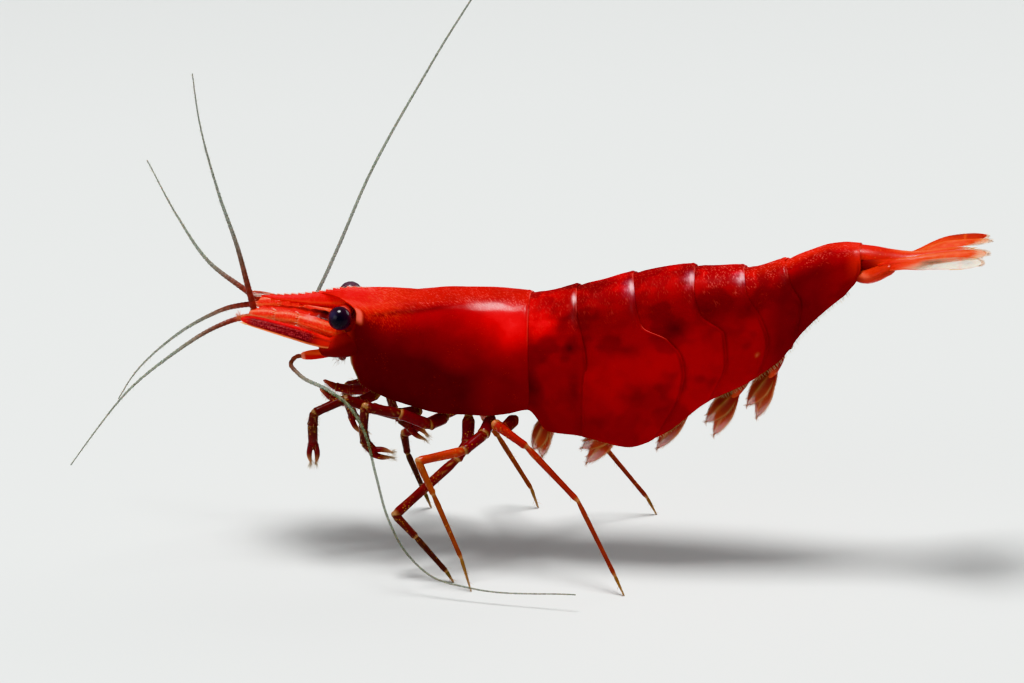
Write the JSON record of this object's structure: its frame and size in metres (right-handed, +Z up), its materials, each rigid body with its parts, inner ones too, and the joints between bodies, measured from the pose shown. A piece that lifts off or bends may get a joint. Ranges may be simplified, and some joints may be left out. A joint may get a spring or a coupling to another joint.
{
  "type": "cherry shrimp",
  "caption": "Still life-size freshwater cherry shrimp standing on its walking legs, with long feelers, a toothed rostrum, a humped abdomen and a spread tail fan.",
  "frame": {"origin": "centre of the outer box's footprint, on the floor under the feet", "axes": "+Z up, -X towards the head, -Y towards the animal's left side"},
  "size_m": [0.0376, 0.0162, 0.0284],
  "materials": {
    "shell": "translucent red shell, glossy and mottled",
    "head_limb": "orange red, glossy, thin and translucent at the edges",
    "leg": "maroon to orange, slightly glossy",
    "swimmeret": "dark red to olive, thin and translucent",
    "feeler": "thin translucent grey green, red brown at the root",
    "eye": "glossy blue black cornea on a red stalk"
  },
  "bodies": {
    "root": {"abdomen_1": "shell", "abdomen_2": "shell", "abdomen_3": "shell", "abdomen_4": "shell", "abdomen_5": "shell", "abdomen_6": "shell", "antenna_base_left": "head_limb", "antenna_base_right": "head_limb", "antenna_left": "feeler", "antenna_right": "feeler", "antennal_scale_left": "head_limb", "antennal_scale_right": "head_limb", "antennule_base_left": "head_limb", "antennule_base_right": "head_limb", "antennule_lower_left": "feeler", "antennule_lower_right": "feeler", "antennule_upper_left": "feeler", "antennule_upper_right": "feeler", "carapace": "shell", "eye_left": "eye", "eye_right": "eye", "leg_1_left": "leg", "leg_1_right": "leg", "leg_2_left": "leg", "leg_2_right": "leg", "leg_3_left": "leg", "leg_3_right": "leg", "leg_4_left": "leg", "leg_4_right": "leg", "leg_5_left": "leg", "leg_5_right": "leg", "maxilliped_left": "leg", "maxilliped_right": "leg", "mouthparts": "swimmeret", "pleopod_1_left": "swimmeret", "pleopod_1_right": "swimmeret", "pleopod_2_left": "swimmeret", "pleopod_2_right": "swimmeret", "pleopod_3_left": "swimmeret", "pleopod_3_right": "swimmeret", "pleopod_4_left": "swimmeret", "pleopod_4_right": "swimmeret", "pleopod_5_left": "swimmeret", "pleopod_5_right": "swimmeret", "telson": "shell", "uropod_left": "head_limb", "uropod_right": "head_limb"}
  },
  "joints": []
}
